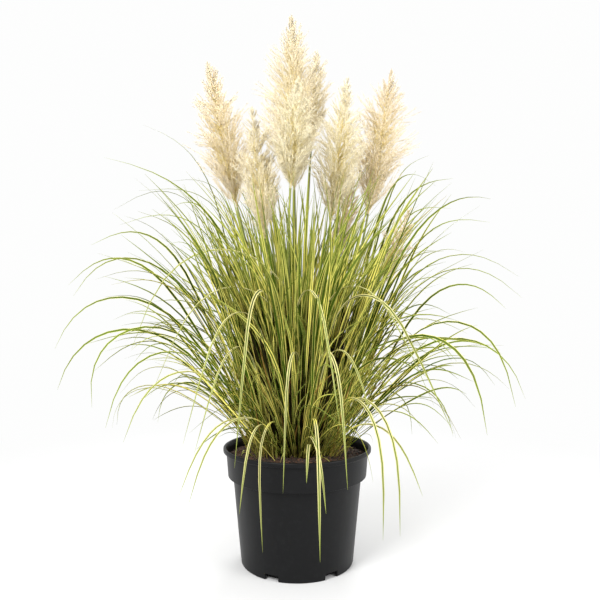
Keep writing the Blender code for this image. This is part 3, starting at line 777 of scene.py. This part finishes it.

# The flower stems: round, jointed canes wrapped in leaf sheaths, green turning to
# straw, each rising from the crown and leaning out under its plume.
# Plume and stem: name, (azimuth, radius, height) of the plume's base and of its tip,
# half its width, how many branches it has, and how tan its colour is, which is partly
# the plume's own colour and partly painted shade
PLUMES = (
    ("left", (189, 0.124, 0.713), (186, 0.186, 1.017), 0.067, 600, 0.75),
    ("front_left", (228, 0.094, 0.642), (228, 0.130, 0.897), 0.050, 390, 0.25),
    ("small_left", (150, 0.064, 0.684), (146, 0.080, 0.838), 0.026, 165, 0.55),
    ("tall", (100, 0.036, 0.762), (112, 0.034, 1.143), 0.080, 975, 0.45),
    ("back", (72, 0.100, 0.876), (70, 0.132, 1.110), 0.040, 360, 0.45),
    ("front", (262, 0.091, 0.736), (271, 0.112, 0.943), 0.052, 420, 0.00),
    ("right_middle", (337, 0.074, 0.681), (341, 0.108, 0.977), 0.066, 525, 0.15),
    ("right", (11, 0.153, 0.708), (11, 0.208, 1.027), 0.072, 600, 0.85),
    ("small_back", (31, 0.103, 0.613), (35, 0.152, 0.821), 0.034, 225, 0.80),
    ("small_right", (350, 0.176, 0.554), (350, 0.230, 0.711), 0.030, 165, 0.90),
)
STEM_FOOT_SPACING = 0.24
STEM_LEAST_FOOT = 0.022
STEM_FOOT_RADIUS = 0.0036
STEM_TOP_RADIUS = 0.0021
STEM_JOINTS = 4
# The ridge at a joint, by height and length, and how far the sheath above swells, as
# shares of the cane's radius and of the space between joints
RIDGE = (0.20, 0.02)
SHEATH_SWELL = 0.14
STEM_POINTS = 81
STEM_SIDES = 10
STEM_GREEN = (0.080, 0.125, 0.018, 1)
STEM_STRAW = (0.25, 0.26, 0.065, 1)


def stem_line(base, tip, count):
    """A cubic curve from the crown, straight up at first, into the plume's own line.

    Its two middle controls stand a third of the way off, up from the foot and back down
    from the plume's base.
    """
    top, direction = polar(*base), unit(polar(*tip) - polar(*base))
    foot = polar(base[0], max(STEM_FOOT_SPACING * base[1], STEM_LEAST_FOOT), SOIL_TOP)
    reach = np.linalg.norm(top - foot) / 3
    controls = (foot, foot + np.array([0, 0, reach]), top - direction * reach, top)
    t = np.linspace(0, 1, count)[:, None]
    weights = ((1 - t) ** 3, 3 * t * (1 - t) ** 2, 3 * t * t * (1 - t), t ** 3)
    return sum(w * c for w, c in zip(weights, controls))


def tube_rings(lines, radius, corners):
    """Round rings about lines: bodies by rings by corners by x, y and z.

    A corner is its line's point plus the radius times the cosine and the sine of its
    turn along two directions square to the line.
    """
    along = unit(np.gradient(lines, axis=1))
    aim = np.where(np.abs(along[:, :1, :1]) > 0.8, np.array([0.0, 1, 0]), np.array([1.0, 0, 0]))
    side = unit(aim - along * (aim * along).sum(-1, keepdims=True))
    other = np.cross(along, side)
    turn = (np.arange(corners) * 2 * np.pi / corners)[None, None, :, None]
    circle = side[:, :, None] * np.cos(turn) + other[:, :, None] * np.sin(turn)
    return lines[:, :, None] + circle * radius[:, :, None, None]


def stem_radius(count):
    """Thinner towards the top, with a ridge at each joint where a sheath is fixed.

    The ridge is a bell curve halfway along each space, and above it the sheath is
    thickest at once and falls off evenly.
    """
    way = np.linspace(0, 1, count)
    plain = STEM_FOOT_RADIUS + (STEM_TOP_RADIUS - STEM_FOOT_RADIUS) * way
    joint = np.mod(way * STEM_JOINTS + 0.4, 1)
    ridge = RIDGE[0] * np.exp(-((joint - 0.5) / RIDGE[1]) ** 2)
    return plain * (1 + ridge + SHEATH_SWELL * (joint > 0.5) * (1 - joint))


def stem_material():
    """A cane streaked green and straw along its length, by a noise drawn out upwards."""
    material, tree = blank_material("flower_stem")
    place = add_node(tree, "TexCoord").outputs["Object"]
    drawn = add_node(tree, "Mapping", Vector=place, Scale=(900, 900, 9)).outputs["Vector"]
    streak = add_node(tree, "TexNoise", Vector=drawn, Scale=1.0, Detail=3.0).outputs["Fac"]
    share = add_node(tree, "MapRange", Value=streak, From_Min=0.38, From_Max=0.62).outputs["Result"]
    colour = blend_colours(tree, share, STEM_GREEN, STEM_STRAW)
    bump = add_node(tree, "Bump", Height=streak, Strength=0.3, Distance=0.0004).outputs["Normal"]
    shader = add_node(tree, "BsdfPrincipled", Base_Color=colour, Roughness=0.45, Normal=bump)
    return finish_material(material, shader.outputs["BSDF"])


stem_finish = stem_material()
for name, base, tip, *rest in PLUMES:
    line = stem_line(base, tip, STEM_POINTS)[None]
    mesh = swept_mesh(f"flower_cane_{name}", tube_rings(line, stem_radius(STEM_POINTS)[None], STEM_SIDES))
    mesh.shade_smooth()
    mesh.set_sharp_from_angle(angle=math.radians(60))
    add_piece(mesh.name, mesh, stem_finish, "flower_stem", f"flower_stem_{name}")

# The plumes: flower heads of many thin branches that rise steeply from the stem's end
# and carry long silky hairs, cream at the tips and warmer and darker inside.
HAIRS_PER_BRANCH = 38
HAIR_LENGTH = (0.005, 0.014)
HAIR_WIDTH = 0.0010
HAIR_LEAN = (6, 62)
BRANCH_RADIUS = 0.00035
BRANCH_POINTS = 4
CORE_POINTS = 24
CORE_TIP_RADIUS = 0.0004
# The share of a plume's length that its axis fills
CORE_REACH = 0.97
GOLDEN_ANGLE = math.pi * (3 - math.sqrt(5))
LOCK_BRANCHES = 3
LOCK_SPREAD = 0.16
# A lock's length as a share of the plume's, and how much shorter the top ones are
LOCK_LENGTH = (0.14, 0.36)
LOCK_SHORTENING = 0.62
# How many locks stand out from the rest, by chance, and by how much
LOOSE_LOCKS = 0.17
LOOSE_REACH = (0.15, 0.60)
OUTLINE_SWELL = 0.22
PLUME_CREAM = (0.990, 0.950, 0.81, 1)
PLUME_TAN = (0.966, 0.892, 0.745, 1)
PLUME_HEART = (0.997, 0.91, 0.45, 1)
PLUME_TRANSLUCENCE = 0.70


def plume_width(way):
    """How wide a plume is along its length, widest at about half of the way up.

    It is the way to the power of 1.10 times what is left of it to the power of 1.08,
    divided by the greatest value of the same.
    """
    a, b = 1.10, 1.08
    peak = a / (a + b)
    way = np.clip(way, 0, 1)
    return way ** a * (1 - way) ** b / (peak ** a * (1 - peak) ** b)


def branch_lines(length, half_width, branches, rng):
    """Midlines of a plume's branches in its own frame, with the plume along +Z.

    The branches stand in locks of three. Each lock starts on the axis a golden angle
    round from the last one. Its distance from the axis grows as a power of the way
    along, to a chance share of the plume's width at the height of its end, and its
    height grows evenly. The lowest locks are the longest, and the top ones stand
    further apart. The outline swells and sinks with a smooth noise over direction and
    height, and one lock in six stands out.
    """
    locks = branches // LOCK_BRANCHES
    order = (np.arange(locks) + 0.5) / locks
    start = CORE_REACH * (1 - (1 - order ** 0.86) ** 0.66)
    span = rng.uniform(*LOCK_LENGTH, locks) * (1 - LOCK_SHORTENING * order)
    span = np.minimum(span, (1 - start) * rng.uniform(0.45, 1, locks))
    turn = np.arange(locks) * GOLDEN_ANGLE + rng.normal(0, 0.25, locks)
    across, upward = np.cos(turn) * 1.2 + 50 * half_width, np.sin(turn) * 1.2 + (start + span) * 8
    swell = lattice_noise(across, upward, 1.0, 4)
    apart = 1 + (rng.random(locks) < LOOSE_LOCKS) * rng.uniform(*LOOSE_REACH, locks)
    share = rng.uniform(0.05, 0.92, locks) ** 0.5 * apart * (1 + OUTLINE_SWELL * swell)
    start, span, turn, share = (np.repeat(part, LOCK_BRANCHES) for part in (start, span, turn, share))
    count = len(start)
    span, turn = span * rng.uniform(0.72, 1, count), turn + rng.normal(0, LOCK_SPREAD, count)
    end = start + span
    reach = half_width * plume_width(end) * share * rng.uniform(0.85, 1, count)
    way = np.linspace(0, 1, BRANCH_POINTS)[None]
    out = reach[:, None] * way ** 0.8
    swing = turn[:, None] + 0.25 * way * rng.normal(0, 1, (count, 1))
    height = length * (start[:, None] + span[:, None] * way)
    return np.stack([out * np.cos(swing), out * np.sin(swing), height], axis=-1)


def hair_spikes(lines, hairs, rng):
    """Hairs as long thin spikes: three corners at the root and one at the tip.

    Hairs stand all along each branch, closer towards its end. Each leans from the
    branch's own direction towards a chance side, less so near the branch's end and near
    the plume's top, where they close to a lock. They are shorter there too.
    """
    branches, points = lines.shape[:2]
    way = rng.uniform(0.01, 1, (branches, hairs)) ** 0.72
    spot = way * (points - 1)
    low = np.minimum(spot.astype(int), points - 2)
    rows = np.arange(branches)[:, None]
    share = (spot - low)[..., None]
    root = lines[rows, low] * (1 - share) + lines[rows, low + 1] * share
    along = unit(lines[rows, low + 1] - lines[rows, low])
    top = lines[..., 2].max()
    closing = (1.1 - 0.4 * way) * (1.1 - 0.75 * (lines[:, -1:, 2] / top) ** 3)
    lean = np.radians(rng.uniform(*HAIR_LEAN, way.shape) * closing)[..., None]
    chance = unit(rng.normal(0, 1, (*way.shape, 3)))
    aside = unit(chance - along * (chance * along).sum(-1, keepdims=True))
    aim = along * np.cos(lean) + aside * np.sin(lean)
    high = (root[..., 2] / top) ** 2
    length = rng.uniform(*HAIR_LENGTH, way.shape) * (1.15 - 0.55 * way) * (1.1 - 0.55 * high)
    tip = root + aim * length[..., None]
    other = np.cross(aim, aside)
    turn = np.radians([0, 120, 240])[:, None]
    ring = aside[..., None, :] * np.cos(turn) + other[..., None, :] * np.sin(turn)
    foot = root[..., None, :] + ring * HAIR_WIDTH / 2
    return np.concatenate([foot, tip[..., None, :]], axis=-2).reshape(-1, 4, 3)


def plume_mesh(name, base, tip, half_width, branches, tan_and_shade, rng):
    """Axis, branches and hairs of one plume as one mesh, in place on its stem.

    Each point also gets the colour mark: how far out it stands as a share of the
    plume's width there, counted as further out near the top, whether it is a hair's
    tip, and how tan the plume is, partly its own colour and partly painted shade.
    """
    start, end = polar(*base), polar(*tip)
    length = np.linalg.norm(end - start)
    lines = branch_lines(length, half_width, branches, rng)
    spikes = hair_spikes(lines, HAIRS_PER_BRANCH, rng)
    twigs = tube_rings(lines, np.full(lines.shape[:2], BRANCH_RADIUS), 3)
    level = np.zeros(CORE_POINTS)
    spine = np.stack([level, level, np.linspace(0, length * CORE_REACH, CORE_POINTS)], -1)[None]
    core = tube_rings(spine, np.linspace(STEM_TOP_RADIUS, CORE_TIP_RADIUS, CORE_POINTS)[None], 6)
    points, faces, ends = join_bodies([core, twigs], spikes)
    upright = np.array(Vector(end - start).to_track_quat("Z", "Y").to_matrix())
    height = points[:, 2] / length
    width = np.maximum(half_width * plume_width(height), 0.004)
    out = np.hypot(points[:, 0], points[:, 1]) / width + 0.7 * height ** 4
    mesh = bpy.data.meshes.new(name)
    mesh.from_pydata(points @ upright.T + start, [], faces)
    mark = mesh.color_attributes.new("plume", "FLOAT_COLOR", "POINT")
    ones = np.ones(len(points))
    mark.data.foreach_set("color", np.stack([np.clip(out, 0, 1), ends, ones * tan_and_shade, ones], -1).ravel())
    mesh.shade_smooth()
    return mesh


def join_bodies(tubes, spikes):
    """Points, faces and tip marks of tubes and four-cornered spikes together."""
    points, faces, first = [], [], 0
    for rings in tubes:
        bodies, count, corners = rings.shape[:3]
        index = np.arange(bodies * count * corners).reshape(bodies, count, corners) + first
        here, ahead = index[:, :-1], index[:, 1:]
        sides = np.stack([here, np.roll(here, -1, 2), np.roll(ahead, -1, 2), ahead], -1).reshape(-1, 4)
        faces += sides.tolist() + index[:, 0, ::-1].tolist() + index[:, -1].tolist()
        points.append(rings.reshape(-1, 3))
        first += index.size
    index = np.arange(len(spikes) * 4).reshape(-1, 4) + first
    for corners in ((0, 2, 1), (0, 1, 3), (1, 2, 3), (2, 0, 3)):
        faces += index[:, corners].tolist()
    ends = np.concatenate([np.zeros(first), np.tile([0, 0, 0, 1], len(spikes))])
    return np.concatenate(points + [spikes.reshape(-1, 3)]), faces, ends


def plume_material():
    """Silky hairs: from a golden heart to cream or tan outside, letting light through.

    The share of the outer colour grows with the mark's way out and at a hair's tip, and
    two noises fleck it. How tan the outer colour is follows the plume's mark, which is
    partly its own colour and partly painted shade.
    """
    material, tree = blank_material("plume_hair")
    mark = add_node(tree, "Attribute", {"attribute_name": "plume"}).outputs["Color"]
    parts = add_node(tree, "SeparateColor", Color=mark)
    out, end, tan_and_shade = (parts.outputs[key] for key in ("Red", "Green", "Blue"))
    place = add_node(tree, "TexCoord").outputs["Object"]
    cloud = add_node(tree, "TexNoise", Vector=place, Scale=60.0, Detail=2.0).outputs["Fac"]
    # A plume's tan is partly its own colour and partly painted shade
    outer = blend_colours(tree, tan_and_shade, PLUME_CREAM, PLUME_TAN)
    reach = add_node(tree, "Math", {"operation": "MULTIPLY_ADD"}, _0=end, _1=0.25, _2=out).outputs[0]
    mixed = add_node(tree, "Math", {"operation": "MULTIPLY_ADD"}, _0=cloud, _1=0.4, _2=reach).outputs[0]
    grain = add_node(tree, "TexNoise", Vector=place, Scale=380.0, Detail=1.0).outputs["Fac"]
    flecked = add_node(tree, "Math", {"operation": "MULTIPLY_ADD"}, _0=grain, _1=0.9, _2=mixed).outputs[0]
    share = add_node(tree, "MapRange", Value=flecked, From_Min=0.55, From_Max=1.25).outputs["Result"]
    colour = blend_colours(tree, share, PLUME_HEART, outer)
    hair = add_node(tree, "BsdfPrincipled", Base_Color=colour, Roughness=0.7,
                    Specular_IOR_Level=0.08).outputs["BSDF"]
    glow = add_node(tree, "BsdfTranslucent", Color=colour).outputs["BSDF"]
    shader = add_node(tree, "MixShader", _0=PLUME_TRANSLUCENCE, _1=hair, _2=glow).outputs[0]
    return finish_material(material, shader)


plume_finish = plume_material()
plume_rng = np.random.default_rng(8)
for name, base, tip, half_width, branches, tan_and_shade in PLUMES:
    mesh = plume_mesh(f"plume_head_{name}", base, tip, half_width, branches, tan_and_shade, plume_rng)
    add_piece(mesh.name, mesh, plume_finish, "plume", f"plume_{name}")
